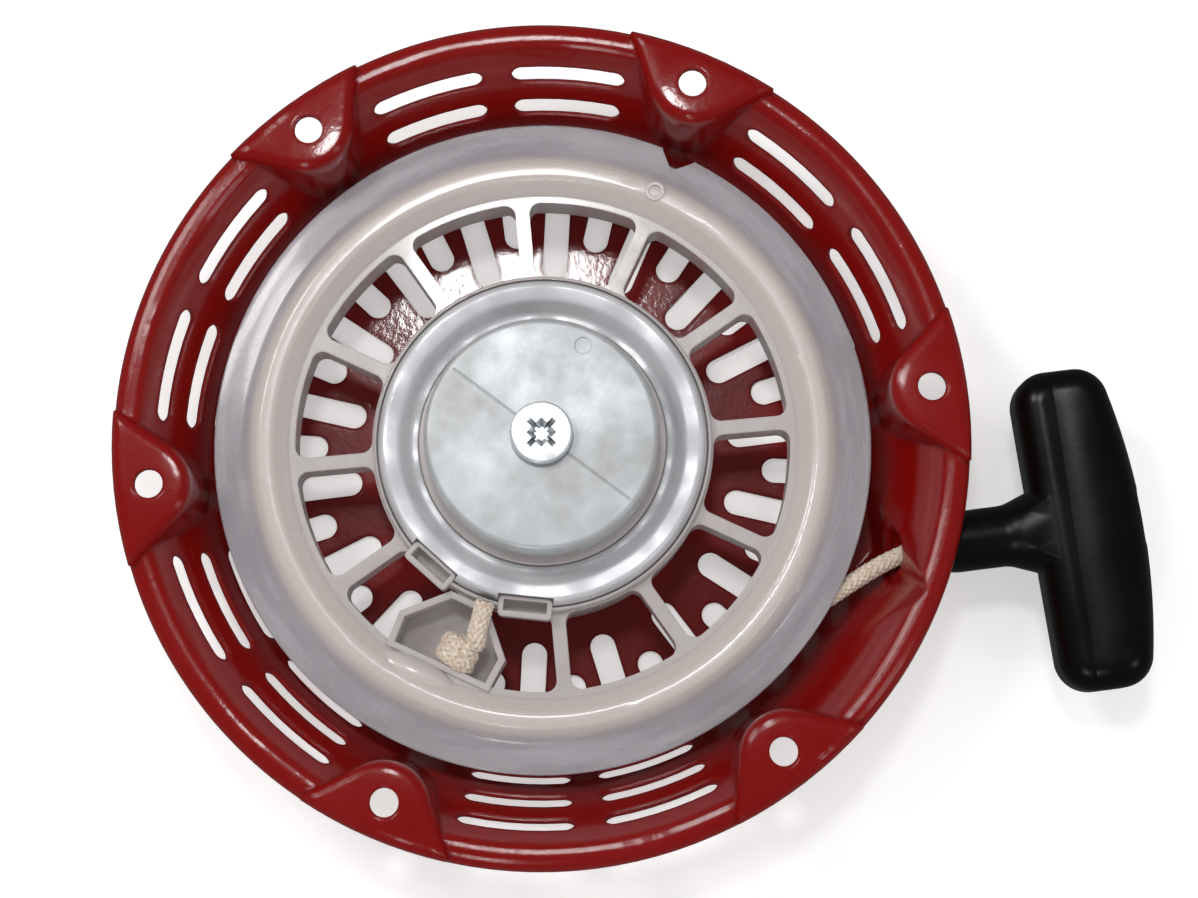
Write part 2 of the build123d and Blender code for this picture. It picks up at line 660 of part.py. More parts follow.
def along_pull(radius, start_x, end_x):
    """A cylinder on the rope's line outside the case."""
    middle = Pos((start_x + end_x) / 2, ROPE_Y, ROPE_EXIT_Z)
    return middle * Rot(0, 90, 0) * Cylinder(radius, end_x - start_x)


def rope_pull_run():
    """Rope from the rope hole through the stem of the grip to the knot behind it."""
    return along_pull(ROPE_D / 2, STEM_TIP_X - 0.4, 148.0)


def grip_bar():
    """The bar of the grip in plan, its outer side bowed away from the engine."""
    top_y = GRIP_MIDDLE_Y + GRIP_LENGTH / 2
    low_y = GRIP_MIDDLE_Y - GRIP_LENGTH / 2
    outer = ThreePointArc((151.6, top_y), (157.8, GRIP_MIDDLE_Y - 4.0), (153.2, low_y))
    inner = ThreePointArc((129.6, low_y), (128.6, GRIP_MIDDLE_Y), (127.8, top_y))
    ends = [Line(outer @ 1, inner @ 0), Line(inner @ 1, outer @ 0)]
    plan = fillet(make_face([outer, inner, *ends]).vertices(), 9.0)
    bar = Pos(0, 0, ROPE_EXIT_Z - GRIP_HALF_T) * extrude(plan, amount=2 * GRIP_HALF_T)
    rims = bar.faces().sort_by(Axis.Z)
    return fillet([*rims[0].edges(), *rims[-1].edges()], 7.0)


def grip():
    """One-piece T-shaped grip: bowed bar, round stem, and a recess for the rope's knot."""
    shoulder = 134.0
    outline = [(0, STEM_TIP_X, 0), (STEM_R - 1.6, STEM_TIP_X, 1.2), (STEM_R, STEM_TIP_X + 9.0, 12.0)]
    flare = [(STEM_R, shoulder - 13.0, 9.0), (STEM_R + 5.0, shoulder, 0), (0, shoulder, 0)]
    stem = Pos(0, ROPE_Y, ROPE_EXIT_Z) * Rot(0, 90, 0) * turned([*outline, *flare])
    body = grip_bar() + (stem & Pos(120, ROPE_Y, ROPE_EXIT_Z) * Box(60, 40, 2 * GRIP_HALF_T - 1.0))
    hole = along_pull(ROPE_D / 2 + 0.25, 90.0, 170.0)
    recess = Pos(151.0, ROPE_Y, ROPE_EXIT_Z) * Box(14.0, 17.0, 12.6)
    recess = fillet(recess.edges().filter_by(Axis.X), 3.0)
    return body - hole - recess


def grip_reinforcement():
    """Steel plate the knot pulls against, inside the grip's recess."""
    plate = Pos(144.65, ROPE_Y, ROPE_EXIT_Z) * Box(1.2, 16.4, 12.0)
    plate = fillet(plate.edges().filter_by(Axis.X), 2.6)
    return plate - along_pull(ROPE_D / 2 + 0.25, 140.0, 150.0)


def rope_knot_grip():
    """Knot on the outer end of the rope."""
    knot = Pos(149.9, ROPE_Y, ROPE_EXIT_Z) * scale(Sphere(1.0), by=(4.5, 6.2, 5.2))
    return knot - along_pull(ROPE_D / 2 + 0.02, 140.0, 148.02)


# ---------------------------------------------------------------- pieces and their file names
PIECES = {
    "starter_case": starter_case,
    "reel_shaft": reel_shaft,
    "thrust_washer": thrust_washer,
    "set_screw": set_screw,
    "reel": reel,
    "hub_liner": hub_liner,
    "recoil_spring": recoil_spring,
    "rope_coil": rope_coil,
    "rope_knot_reel": rope_knot_reel,
    "ratchet_guide": ratchet_guide,
    "friction_spring": friction_spring,
    "ratchet_1": lambda: ratchet_at(0),
    "ratchet_2": lambda: ratchet_at(1),
    "ratchet_spring_1": lambda: ratchet_spring(0),
    "ratchet_spring_2": lambda: ratchet_spring(1),
    "rope_feed_run": rope_feed_run,
    "rope_pull_run": rope_pull_run,
    "grip": grip,
    "grip_reinforcement": grip_reinforcement,
    "rope_knot_grip": rope_knot_grip,
}


if __name__ == "__main__":
    os.makedirs("parts", exist_ok=True)
    for name, make in PIECES.items():
        export_step(make(), "parts/" + name + ".step")
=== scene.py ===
"""Looks for the recoil starter: materials, braided rope, light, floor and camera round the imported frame."""

import math

import bmesh
import bpy
import numpy as np
from mathutils import Matrix, Vector


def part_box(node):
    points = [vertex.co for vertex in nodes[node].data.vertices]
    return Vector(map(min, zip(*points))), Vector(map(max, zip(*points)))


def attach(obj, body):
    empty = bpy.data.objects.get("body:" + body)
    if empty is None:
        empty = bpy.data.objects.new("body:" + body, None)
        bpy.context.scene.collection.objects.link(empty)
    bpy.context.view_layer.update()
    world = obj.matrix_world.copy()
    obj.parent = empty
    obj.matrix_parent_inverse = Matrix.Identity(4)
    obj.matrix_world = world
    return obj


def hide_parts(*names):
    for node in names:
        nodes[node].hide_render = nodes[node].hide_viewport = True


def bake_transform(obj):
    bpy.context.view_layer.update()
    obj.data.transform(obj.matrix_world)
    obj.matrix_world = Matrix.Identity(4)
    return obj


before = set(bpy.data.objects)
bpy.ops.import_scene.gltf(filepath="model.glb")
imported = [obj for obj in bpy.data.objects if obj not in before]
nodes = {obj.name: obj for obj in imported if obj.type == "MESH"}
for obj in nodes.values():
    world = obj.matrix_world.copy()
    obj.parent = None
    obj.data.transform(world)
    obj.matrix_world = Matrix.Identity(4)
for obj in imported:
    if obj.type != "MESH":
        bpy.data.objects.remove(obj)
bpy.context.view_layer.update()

MM = 0.001
FLOOR_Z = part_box("starter_case")[0].z
CREASE_ANGLE = 32.0
SPRING_CREASE_ANGLE = 50.0

ROPE_R = 2.5 * MM
STRANDS_EACH_WAY = 8
BRAID_PITCH = 17.0 * MM
BRAID_UV_PER_METRE = 1000
CORE_UV_SHIFT = 2.0
COIL_LAYER_STEP = 4.89 * MM
POCKET_TURN = math.radians(238.0)


# ---------------------------------------------------------------- node helpers
def new_material(name):
    """A material with an empty tree, its Principled shader already joined to the output."""
    material = bpy.data.materials.new(name)
    material.use_nodes = True
    tree = material.node_tree
    tree.nodes.clear()
    out = tree.nodes.new("ShaderNodeOutputMaterial")
    shader = tree.nodes.new("ShaderNodeBsdfPrincipled")
    tree.links.new(shader.outputs[0], out.inputs["Surface"])
    return material, tree, shader


def put(tree, socket, value):
    """Gives an input socket a value, or joins it to another node's output socket."""
    if isinstance(value, bpy.types.NodeSocket):
        tree.links.new(value, socket)
    else:
        socket.default_value = value


def add(tree, kind, inputs=None, **settings):
    """A node with its settings, then its inputs, which are values or other nodes' sockets."""
    node = tree.nodes.new(kind)
    for key, value in settings.items():
        setattr(node, key, value)
    for key, value in (inputs or {}).items():
        put(tree, node.inputs[key], value)
    return node


def math_node(tree, operation, *values):
    return add(tree, "ShaderNodeMath", dict(enumerate(values)), operation=operation).outputs[0]


def times(tree, first, second):
    return math_node(tree, "MULTIPLY", first, second)


def blend_colour(tree, share, first, second):
    return add(tree, "ShaderNodeMix", {0: share, 6: first, 7: second}, data_type="RGBA").outputs[2]


def ramp(tree, value, low, high, to_low=0.0, to_high=1.0):
    """Maps a value from one range onto another, clamped and with soft ends."""
    inputs = {"Value": value, "From Min": low, "From Max": high, "To Min": to_low, "To Max": to_high}
    return add(tree, "ShaderNodeMapRange", inputs, interpolation_type="SMOOTHSTEP").outputs[0]


def noise(tree, where, scale, detail=4.0, roughness=0.55):
    """Noise with features of about 1 / scale metres."""
    inputs = {"Vector": where, "Scale": scale, "Detail": detail, "Roughness": roughness}
    return add(tree, "ShaderNodeTexNoise", inputs).outputs[0]


def object_place(tree):
    return add(tree, "ShaderNodeTexCoord").outputs["Object"]


def uv_place(tree):
    return add(tree, "ShaderNodeTexCoord").outputs["UV"]


def split(tree, where):
    """The three parts of a place."""
    return add(tree, "ShaderNodeSeparateXYZ", {0: where}).outputs


def stretched(tree, where, scale):
    return add(tree, "ShaderNodeMapping", {"Vector": where, "Scale": scale}).outputs[0]


def polar_place(tree, where):
    """Radius and angle of a place about the Z axis."""
    parts = split(tree, where)
    squares = [times(tree, parts[i], parts[i]) for i in (0, 1)]
    radius = math_node(tree, "SQRT", math_node(tree, "ADD", *squares))
    return radius, math_node(tree, "ARCTAN2", parts[1], parts[0])


def bumped(tree, height, distance, strength=1.0, normal=None):
    inputs = {"Height": height, "Distance": distance, "Strength": strength}
    if normal is not None:
        inputs["Normal"] = normal
    return add(tree, "ShaderNodeBump", inputs).outputs[0]


def soft_edges(tree, radius):
    """Normals that roll over every edge, as a press or a mould leaves them."""
    return add(tree, "ShaderNodeBevel", {"Radius": radius}, samples=4).outputs[0]


def finish(tree, shader, **values):
    """Sets the Principled inputs; a double underscore in a name stands for a space."""
    for key, value in values.items():
        put(tree, shader.inputs[key.replace("__", " ")], value)


# ---------------------------------------------------------------- materials
def red_enamel():
    """Thick glossy enamel over pressed steel, dusty in patches and rubbed paler along sharp edges."""
    deep, bright = (0.195, 0.0010, 0.0008, 1), (0.250, 0.0022, 0.0015, 1)
    rubbed, dusty = (0.42, 0.20, 0.17, 1), (0.32, 0.14, 0.12, 1)
    material, tree, shader = new_material("red_enamel")
    place = object_place(tree)
    edges = soft_edges(tree, 1.7 * MM)
    peel = noise(tree, place, 620, 3.0, 0.6)
    waves = noise(tree, place, 60, 2.0)
    patches = noise(tree, place, 18, 3.0)
    normal = bumped(tree, waves, 0.5 * MM, 0.22, edges)
    normal = bumped(tree, peel, 0.10 * MM, 0.40, normal)

    facing = add(tree, "ShaderNodeNewGeometry").outputs["Normal"]
    bend = add(tree, "ShaderNodeVectorMath", {0: edges, 1: facing}, operation="DOT_PRODUCT").outputs["Value"]
    chips = ramp(tree, noise(tree, place, 520, 4.0, 0.7), 0.56, 0.68)
    worn = times(tree, ramp(tree, bend, 0.93, 0.72), chips)
    dust = ramp(tree, noise(tree, place, 160, 6.0, 0.7), 0.64, 0.78)
    colour = blend_colour(tree, patches, deep, bright)
    colour = blend_colour(tree, times(tree, worn, 0.25), colour, rubbed)
    colour = blend_colour(tree, times(tree, dust, 0.10), colour, dusty)

    roughness = ramp(tree, patches, 0.3, 0.7, 0.20, 0.30)
    finish(tree, shader, Base__Color=colour, Roughness=roughness, Normal=normal, IOR=1.5)
    finish(tree, shader, Specular__IOR__Level=0.2)
    finish(tree, shader, Coat__Weight=0.8, Coat__Roughness=0.06, Coat__Normal=normal)
    return material


def reel_nylon():
    """Natural nylon: milky and waxy, cloudy in the thin flange, with a warm tint painted over the rope it
    holds, a greyer shade painted in the thin flange as if seen through it, and a faint painted glow.
    """
    grey, pale = (0.43, 0.385, 0.375, 1), (0.54, 0.50, 0.495, 1)
    rope_through_tint = (0.62, 0.55, 0.515, 1)
    flange_shade_dark, flange_shade_pale = (0.36, 0.33, 0.375, 1), (0.50, 0.48, 0.52, 1)
    material, tree, shader = new_material("reel_nylon")
    place = object_place(tree)
    radius, angle = polar_place(tree, place)
    edges = soft_edges(tree, 0.7 * MM)
    flow = noise(tree, place, 34, 4.0)
    swirl = add(tree, "ShaderNodeCombineXYZ", {0: times(tree, radius, 170.0), 1: times(tree, angle, 2.2)})
    cloud = noise(tree, swirl.outputs[0], 1.0, 4.0, 0.58)
    speck = noise(tree, place, 900, 3.0)

    thin = ramp(tree, radius, 77.5 * MM, 81 * MM)
    # Painted see-through: a warm tint where the rope lies behind the wall stands in for light through the
    # nylon.
    past_drum = ramp(tree, radius, 67 * MM, 70 * MM)
    rope_through_mask = times(tree, past_drum, math_node(tree, "SUBTRACT", 1.0, thin))
    colour = blend_colour(tree, flow, grey, pale)
    colour = blend_colour(tree, times(tree, rope_through_mask, 0.75), colour, rope_through_tint)
    # Painted shade: the thin flange is tinted a darker grey-lilac for the dark inside seen through it; its
    # cloudy mottle is the nylon's own.
    flange_shade = blend_colour(tree, ramp(tree, cloud, 0.30, 0.72), flange_shade_dark, flange_shade_pale)
    colour = blend_colour(tree, times(tree, thin, 0.9), colour, flange_shade)

    normal = bumped(tree, flow, 0.7 * MM, 0.40, edges)
    normal = bumped(tree, cloud, 0.08 * MM, 0.3, normal)
    normal = bumped(tree, speck, 0.03 * MM, 0.3, normal)
    finish(tree, shader, Base__Color=colour, Normal=normal, IOR=1.53)
    finish(tree, shader, Roughness=ramp(tree, cloud, 0.3, 0.7, 0.20, 0.34))
    finish(tree, shader, Coat__Weight=0.4, Coat__Roughness=0.08)
    finish(tree, shader, Subsurface__Weight=0.4, Subsurface__Scale=0.003, Subsurface__Radius=(1.0, 0.8, 0.7))
    finish(tree, shader, Transmission__Weight=math_node(tree, "MULTIPLY_ADD", thin, 0.22, 0.06))
    # Painted light: a faint emission makes the nylon glow a little.
    finish(tree, shader, Emission__Color=(1.0, 0.93, 0.93, 1), Emission__Strength=0.035)
    return material


def turned_metal(name, light, dark, roughness, rings=0.0, stain_scale=30, metallic=0.8, lobes=0):
    """Bare or plated metal: fine grain, turning rings, stains that vary its gloss, and shade painted dark
    into its corners.

    lobes is a number of shallow swells round the Z axis.
    """
    corner_shade_colour = (0.05, 0.048, 0.045, 1)
    material, tree, shader = new_material(name)
    place = object_place(tree)
    radius, angle = polar_place(tree, place)
    edges = soft_edges(tree, 0.35 * MM)
    stain = noise(tree, place, stain_scale, 5.0, 0.6)
    grain = noise(tree, place, 1600, 3.0, 0.7)
    ring_inputs = {"W": times(tree, radius, 2600.0), "Scale": 1.0, "Detail": 3.0}
    ring_marks = add(tree, "ShaderNodeTexNoise", ring_inputs, noise_dimensions="1D").outputs[0]
    normal = bumped(tree, grain, 0.03 * MM, 0.5, edges)
    normal = bumped(tree, ring_marks, 0.03 * MM, rings, normal)
    if lobes:
        swell = math_node(tree, "COSINE", times(tree, angle, float(lobes)))
        normal = bumped(tree, swell, 0.45 * MM, 1.0, normal)

    # Painted shade: ambient occlusion darkens the colour in corners and recesses.
    corners = add(tree, "ShaderNodeAmbientOcclusion", {"Distance": 3.2 * MM}, samples=4).outputs["AO"]
    corner_shade = ramp(tree, corners, 0.90, 0.40, 0.0, 0.8)
    colour = blend_colour(tree, ramp(tree, stain, 0.35, 0.68), (*light, 1), (*dark, 1))
    colour = blend_colour(tree, corner_shade, colour, corner_shade_colour)
    spread = ramp(tree, stain, 0.3, 0.75, roughness * 0.75, roughness * 1.35)
    finish(tree, shader, Base__Color=colour, Metallic=metallic, Roughness=spread, Normal=normal)
    return material


def guide_zinc():
    """Dull zinc plate with a faint crystal mottle and fine scratches."""
    clean, stained = (0.56, 0.60, 0.62, 1), (0.43, 0.43, 0.44, 1)
    crystal, pitted = (0.72, 0.75, 0.77, 1), (0.30, 0.31, 0.32, 1)
    material, tree, shader = new_material("guide_zinc")
    place = object_place(tree)
    edges = soft_edges(tree, 0.4 * MM)
    cell_inputs = {"Vector": place, "Scale": 210.0}
    cells = add(tree, "ShaderNodeTexVoronoi", cell_inputs, feature="F1").outputs["Distance"]
    stain = noise(tree, place, 42, 5.0, 0.6)
    speck = noise(tree, place, 1400, 4.0, 0.75)
    scratch = noise(tree, stretched(tree, place, (40, 700, 40)), 3.0, 4.0, 0.7)
    colour = blend_colour(tree, ramp(tree, stain, 0.3, 0.72), clean, stained)
    colour = blend_colour(tree, times(tree, cells, 0.35), colour, crystal)
    colour = blend_colour(tree, ramp(tree, speck, 0.60, 0.73, 0.0, 0.45), colour, pitted)
    normal = bumped(tree, speck, 0.05 * MM, 0.35, edges)
    normal = bumped(tree, scratch, 0.02 * MM, 0.35, normal)
    finish(tree, shader, Base__Color=colour, Metallic=0.4, Normal=normal)
    finish(tree, shader, Roughness=ramp(tree, stain, 0.3, 0.75, 0.36, 0.52))
    return material


def black_plastic():
    """Glossy black grip, crowned across its bar, with a fine moulding texture, dust and handling haze."""
    black, dusty = (0.0020, 0.0020, 0.0019, 1), (0.2, 0.2, 0.2, 1)
    bar_half = 10.0 * MM
    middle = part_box("grip")[1].x - bar_half
    material, tree, shader = new_material("grip_plastic")
    place = object_place(tree)
    haze = noise(tree, place, 34, 4.0)
    fine = noise(tree, place, 700, 3.0)
    inputs = {"Value": split(tree, place)[0], "From Min": middle - bar_half, "From Max": middle + bar_half}
    across = add(tree, "ShaderNodeMapRange", {**inputs, "To Min": -1.0}).outputs[0]
    crown = math_node(tree, "SUBTRACT", 1.0, times(tree, across, across))
    dust = ramp(tree, noise(tree, place, 950, 3.0, 0.8), 0.70, 0.80)
    colour = blend_colour(tree, times(tree, dust, 0.08), black, dusty)
    normal = bumped(tree, crown, 1.3 * MM, 1.0, soft_edges(tree, 1.2 * MM))
    normal = bumped(tree, fine, 0.05 * MM, 0.22, normal)
    normal = bumped(tree, haze, 0.5 * MM, 0.10, normal)
    finish(tree, shader, Base__Color=colour, Normal=normal, IOR=1.5, Specular__IOR__Level=0.28)
    finish(tree, shader, Roughness=ramp(tree, haze, 0.3, 0.7, 0.20, 0.32))
    return material


def rope_yarn():
    """Cream and tan polyamide strands with fine fibres along them and dirt between, over a core painted dark
    brown as the shade between the strands.
    """
    cream, tan = (0.87, 0.77, 0.66, 1), (0.66, 0.51, 0.37, 1)
    bright_fibre, dirt, core_shade = (0.86, 0.80, 0.71, 1), (0.20, 0.12, 0.07, 1), (0.10, 0.06, 0.035, 1)
    material, tree, shader = new_material("rope_yarn")
    uv = uv_place(tree)
    fibres = noise(tree, stretched(tree, uv, (26, 1.5, 1)), 3.0, 3.0, 0.6)
    tint = noise(tree, stretched(tree, uv, (0.0, 0.9, 0)), 1.0, 3.0)
    is_core = math_node(tree, "GREATER_THAN", split(tree, uv)[0], CORE_UV_SHIFT - 0.5)
    colour = blend_colour(tree, ramp(tree, tint, 0.38, 0.62), cream, tan)
    colour = blend_colour(tree, ramp(tree, fibres, 0.50, 0.74, 0.0, 0.45), colour, bright_fibre)
    colour = blend_colour(tree, ramp(tree, fibres, 0.46, 0.28, 0.0, 0.4), colour, dirt)
    # Painted shade: the core, seen only between the strands, is coloured dark.
    colour = blend_colour(tree, is_core, colour, core_shade)
    normal = bumped(tree, fibres, 0.12 * MM, 0.8)
    finish(tree, shader, Base__Color=colour, Roughness=0.62, Normal=normal, Sheen__Weight=0.35)
    return material


def rope_braid(kind):
    """The braid drawn on a smooth rope, with painted shade in the gaps between its strands.

    On the "pull" rope it is drawn from where a point is, so it keeps its scale when the rope pays out.
    On the "wound" rope it follows the turns by their UVs.
    """
    gap_shade, strand, fibre = (0.14, 0.09, 0.05, 1), (0.64, 0.54, 0.42, 1), (0.84, 0.78, 0.68, 1)
    material, tree, shader = new_material("rope_braid_" + kind)
    place = object_place(tree)
    if kind == "pull":
        parts = split(tree, place)
        middle_y, middle_z = on_pull_line()
        side = math_node(tree, "SUBTRACT", parts[1], middle_y)
        rise = math_node(tree, "SUBTRACT", parts[2], middle_z)
        turn = math_node(tree, "ARCTAN2", rise, side)
        along = times(tree, parts[0], math.tau / BRAID_PITCH)
    else:
        parts = split(tree, uv_place(tree))
        turn = times(tree, parts[0], math.tau)
        along = times(tree, parts[1], math.tau / BRAID_PITCH)
    waves = []
    for way in (1.0, -1.0):
        phase = math_node(tree, "MULTIPLY_ADD", along, way, turn)
        half = times(tree, phase, STRANDS_EACH_WAY / 2)
        waves.append(math_node(tree, "ABSOLUTE", math_node(tree, "COSINE", half)))
    over = math_node(tree, "COSINE", times(tree, along, STRANDS_EACH_WAY))
    share = ramp(tree, over, -0.35, 0.35)
    first = times(tree, waves[0], share)
    rest = math_node(tree, "SUBTRACT", 1.0, share)
    height = math_node(tree, "MULTIPLY_ADD", waves[1], rest, first)
    fibres = noise(tree, place, 1500, 3.0, 0.7)
    # Painted shade: the colour darkens towards the low gaps between the strands.
    colour = blend_colour(tree, ramp(tree, height, 0.15, 0.8), gap_shade, strand)
    colour = blend_colour(tree, ramp(tree, fibres, 0.5, 0.75, 0.0, 0.45), colour, fibre)
    normal = bumped(tree, height, 0.8 * MM, 0.9)
    normal = bumped(tree, fibres, 0.1 * MM, 0.5, normal)
    finish(tree, shader, Base__Color=colour, Roughness=0.65, Normal=normal, Sheen__Weight=0.3)
    return material


def studio_floor():
    """White sweep with the faintest paper tooth, glowing a little so that it stays white in the slots."""
    material, tree, shader = new_material("studio_floor")
    tooth = noise(tree, object_place(tree), 320, 3.0)
    colour = blend_colour(tree, tooth, (0.91, 0.905, 0.90, 1), (0.93, 0.925, 0.92, 1))
    finish(tree, shader, Base__Color=colour, Roughness=0.75, Normal=bumped(tree, tooth, 0.05 * MM, 0.2))
    finish(tree, shader, Emission__Color=(1.0, 0.995, 0.99, 1), Emission__Strength=0.36)
    return material


# ---------------------------------------------------------------- mesh helpers
def smooth_look(item, crease_angle=CREASE_ANGLE):
    """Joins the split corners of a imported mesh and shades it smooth, with crisp sharp edges."""
    for polygon in item.data.polygons:
        polygon.use_smooth = True
    weld = item.modifiers.new("weld", "WELD")
    weld.merge_threshold = 0.002 * MM
    edges = item.modifiers.new("edges", "EDGE_SPLIT")
    edges.split_angle = math.radians(crease_angle)


def paint(material, *names):
    """Gives CAD nodes a material and a smooth look."""
    for name in names:
        item = nodes[name]
        item.data.materials.clear()
        item.data.materials.append(material)
        smooth_look(item)


def mesh_object(name, verts, faces, material, uvs=None):
    """A smooth-shaded object; uvs has one pair for each vertex."""
    mesh = bpy.data.meshes.new(name)
    mesh.from_pydata([tuple(v) for v in verts], [], faces)
    if uvs is not None:
        layer = mesh.uv_layers.new(name="UVMap")
        corner_verts = np.zeros(len(mesh.loops), np.int32)
        mesh.loops.foreach_get("vertex_index", corner_verts)
        layer.data.foreach_set("uv", np.asarray(uvs, np.float32)[corner_verts].ravel())
    mesh.polygons.foreach_set("use_smooth", [True] * len(mesh.polygons))
    mesh.materials.append(material)
    item = bpy.data.objects.new(name, mesh)
    bpy.context.scene.collection.objects.link(item)
    return item


def stand_in(piece, body, node=None):
    """Hangs a piece on a body, in place of a CAD node if one is named."""
    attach(piece, body)
    if node:
        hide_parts(node)


def merge_close(item):
    """Joins vertices that lie on one another and turns all faces outwards."""
    shape = bmesh.new()
    shape.from_mesh(item.data)
    bmesh.ops.remove_doubles(shape, verts=shape.verts, dist=0.001 * MM)
    bmesh.ops.recalc_face_normals(shape, faces=shape.faces)
    shape.to_mesh(item.data)
    shape.free()


def append_mesh(verts, faces, uvs, more):
    """Adds the verts, faces and UVs of another mesh to those given."""
    more_verts, more_faces, more_uvs = more
    base = len(verts)
    verts += more_verts
    faces += [tuple(base + i for i in face) for face in more_faces]
    uvs += more_uvs


def smooth_curve(points, step, span_samples=24):
    """Evenly spaced points along a Catmull-Rom curve through the given points, and their lengths along it."""
    points = np.asarray(points, float)
    padded = np.vstack([2 * points[0] - points[1], points, 2 * points[-1] - points[-2]])
    fine = []
    for a, b, c, d in zip(padded, padded[1:], padded[2:], padded[3:]):
        for t in np.linspace(0, 1, span_samples, endpoint=False):
            square = (2 * a - 5 * b + 4 * c - d) * t**2
            cube = (3 * b - a - 3 * c + d) * t**3
            fine.append(0.5 * (2 * b + (c - a) * t + square + cube))
    fine.append(points[-1])
    fine = np.array(fine)
    lengths = np.concatenate([[0], np.cumsum(np.linalg.norm(np.diff(fine, axis=0), axis=1))])
    wanted = np.linspace(0, lengths[-1], max(int(lengths[-1] / step), 2) + 1)
    return np.column_stack([np.interp(wanted, lengths, fine[:, i]) for i in range(3)]), wanted


def unit_rows(rows):
    return rows / np.linalg.norm(rows, axis=1)[:, None]


def cross_directions(path):
    """Two directions square to a path at each of its points, carried along it with no twist."""
    tangent = unit_rows(np.gradient(path, axis=0))
    upright = abs(tangent[0][2]) >= 0.9
    start = np.array([1.0, 0.0, 0.0] if upright else [0.0, 0.0, 1.0])
    side = []
    for way in tangent:
        start = start - way * (start @ way)
        start = start / np.linalg.norm(start)
        side.append(start)
    side = np.array(side)
    return side, np.cross(tangent, side)


def tube_faces(sections, ring):
    """Quads of a tube whose every section repeats its first vertex at its end."""
    wide = ring + 1
    faces = []
    for section in range(sections - 1):
        for k in range(ring):
            a = section * wide + k
            faces.append((a, a + 1, a + wide + 1, a + wide))
    return faces


def tube_mesh(path, radius, ring, lengths=None):
    """Verts, faces and (turn, length) UVs of a tube; radius may be one value or one per point."""
    side, other = cross_directions(path)
    radii = np.broadcast_to(radius, len(path))
    lengths = np.zeros(len(path)) if lengths is None else lengths
    verts, uvs = [], []
    for index, place in enumerate(path):
        for k in range(ring + 1):
            turn = math.tau * k / ring
            out = side[index] * math.cos(turn) + other[index] * math.sin(turn)
            verts.append(place + out * radii[index])
            uvs.append((k / ring, lengths[index]))
    return verts, tube_faces(len(path), ring), uvs


def bar_faces(sections):
    """Faces of a bar given as sections of four vertices each, closed at both ends."""
    faces = []
    for section in range(sections - 1):
        for k in range(4):
            a, b = section * 4 + k, section * 4 + (k + 1) % 4
            faces.append((a, b, b + 4, a + 4))
    last = (sections - 1) * 4
    return faces + [(3, 2, 1, 0), (last, last + 1, last + 2, last + 3)]


# ---------------------------------------------------------------- braid
def rounded_ends(lengths, radius, end_r):
    """Tube radii that close over both ends."""
    inset = np.minimum(lengths, lengths[-1] - lengths) / end_r
    return radius * np.sqrt(np.clip(1 - (1 - np.clip(inset, 0, 1)) ** 2, 0.0004, 1))


def strand_mesh(path, lengths, way, index, radius):
    """One flat strand of the braid, winding round the path and passing over and under the others."""
    lie, lift_height = 0.75, 0.09
    half_width, half_thickness = 0.235, 0.17
    ring = 8
    uv_gap = 7.3
    side, other = cross_directions(path)
    phase = way * math.tau * lengths / BRAID_PITCH + math.tau * index / STRANDS_EACH_WAY
    lift = way * np.cos(STRANDS_EACH_WAY * math.tau * lengths / BRAID_PITCH)
    out = side * np.cos(phase)[:, None] + other * np.sin(phase)[:, None]
    centre = path + out * (radius * (lie + lift_height * lift))[:, None]
    along = unit_rows(np.gradient(centre, axis=0))
    across = unit_rows(np.cross(along, out))
    verts, uvs = [], []
    for i in range(len(path)):
        for k in range(ring + 1):
            turn = math.tau * k / ring
            wide = across[i] * math.cos(turn) * radius * half_width
            deep = out[i] * math.sin(turn) * radius * half_thickness
            verts.append(centre[i] + (wide + deep))
            uvs.append((k / ring, lengths[i] * BRAID_UV_PER_METRE + index * uv_gap))
    return verts, tube_faces(len(path), ring), uvs


def braided_rope(name, points, radius, material):
    """A rope made of real strands over a soft core, along a smooth path."""
    path, lengths = smooth_curve(points, 0.45 * MM)
    core_radii = rounded_ends(lengths, radius * 0.68, radius * 0.6)
    verts, faces, uvs = tube_mesh(path, core_radii, 12, lengths * BRAID_UV_PER_METRE)
    uvs = [(u + CORE_UV_SHIFT, v) for u, v in uvs]
    for way in (1, -1):
        for index in range(STRANDS_EACH_WAY):
            append_mesh(verts, faces, uvs, strand_mesh(path, lengths, way, index, radius))
    return mesh_object(name, verts, faces, material, uvs)


# ---------------------------------------------------------------- rope
def on_pull_line():
    """Y and Z of the line that the grip is pulled along."""
    low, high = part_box("rope_pull_run")
    return (low.y + high.y) / 2, (low.z + high.z) / 2


def feed_points():
    """From the outer layer of the coil, under the flange, to the rope hole."""
    pull_y, pull_z = on_pull_line()
    coil_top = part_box("rope_coil")[1]
    coil_r = coil_top.x - ROPE_R
    height = coil_top.z - ROPE_R
    hole_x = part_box("rope_feed_run")[1].x - 4.6 * MM
    hole_y = pull_y - 1.3 * MM
    leave = math.atan2(hole_y, hole_x) - math.acos(coil_r / math.hypot(hole_x, hole_y))
    points = []
    for degrees_back in (14, 7, 0):
        turn = leave - math.radians(degrees_back)
        points.append((coil_r * math.cos(turn), coil_r * math.sin(turn), height))
    start = Vector(points[-1])
    end = Vector((hole_x, hole_y, pull_z))
    for share in (0.3, 0.6, 0.88):
        points.append(tuple(start.lerp(end, share)))
    points.append((hole_x + 2.2 * MM, hole_y - 0.1 * MM, pull_z))
    points.append((hole_x + 7.5 * MM, hole_y + 1.1 * MM, pull_z))
    return points


def in_pocket(points):
    """Points given in millimetres as (outwards, sideways, height) in the knot pocket's own frame."""
    turned = []
    for out, side, height in points:
        x = out * math.cos(POCKET_TURN) - side * math.sin(POCKET_TURN)
        y = out * math.sin(POCKET_TURN) + side * math.cos(POCKET_TURN)
        turned.append((x * MM, y * MM, height * MM))
    return turned


